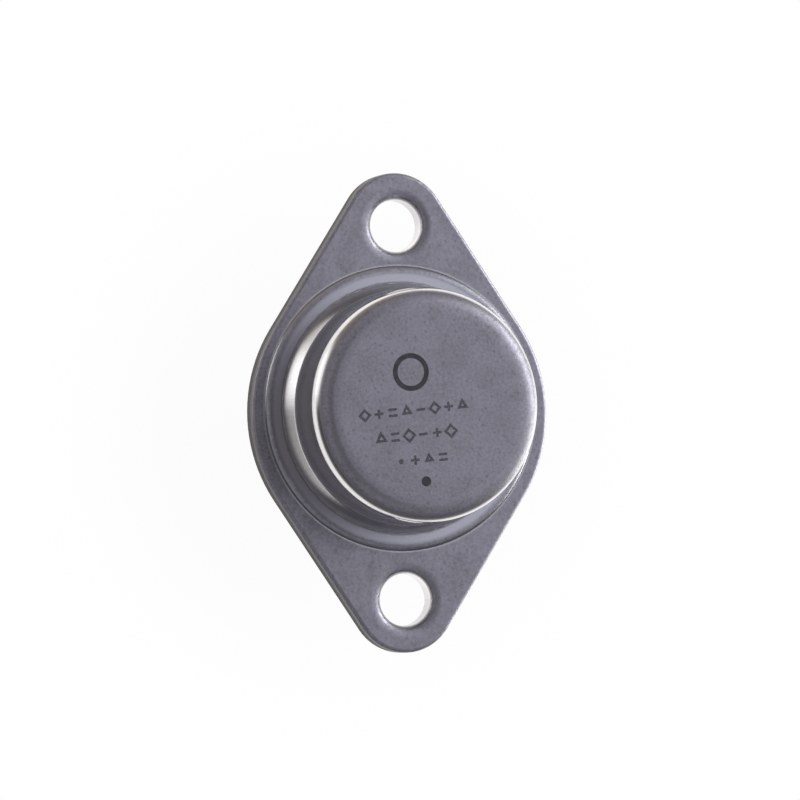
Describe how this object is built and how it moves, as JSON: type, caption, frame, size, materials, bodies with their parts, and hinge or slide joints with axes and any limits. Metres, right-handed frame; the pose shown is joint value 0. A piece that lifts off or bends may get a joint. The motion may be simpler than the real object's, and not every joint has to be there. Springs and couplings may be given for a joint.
{
  "type": "adjustable voltage regulator",
  "caption": "Adjustable voltage regulator in a metal can: rhombic steel flange with a hole at each end, round welded cap, and leads in glass seals underneath.",
  "frame": {"origin": "middle of the mounting face, halfway between the two mounting holes", "axes": "+Z out of the mounting face towards the cap's top; +Y along the line of the mounting holes, towards the hole that the can and the leads are nearer; the leads point to -Z"},
  "size_m": [0.025, 0.0386, 0.02],
  "materials": {
    "base_plate": "matte nickel plate on stamped steel",
    "cap_plate": "satin nickel plate on drawn steel",
    "lead_plate": "plated lead wire",
    "seal_glass": "dark sealing glass",
    "copper": "plain copper",
    "braze": "silver braze",
    "solder": "soft solder",
    "silicon": "polished chip with metal tracks",
    "bond_aluminium": "drawn aluminium wire"
  },
  "bodies": {
    "root": {"base_flange": "base_plate", "cap": "cap_plate", "lead_adjust": "lead_plate", "lead_input": "lead_plate", "glass_seal_adjust": "seal_glass", "glass_seal_input": "seal_glass", "heat_spreader": "copper", "spreader_braze": "braze", "die_attach_solder": "solder", "regulator_die": "silicon", "bond_wire_input_a": "bond_aluminium", "bond_wire_input_b": "bond_aluminium", "bond_wire_output_a": "bond_aluminium", "bond_wire_output_b": "bond_aluminium", "bond_wire_adjust": "bond_aluminium"}
  },
  "joints": []
}
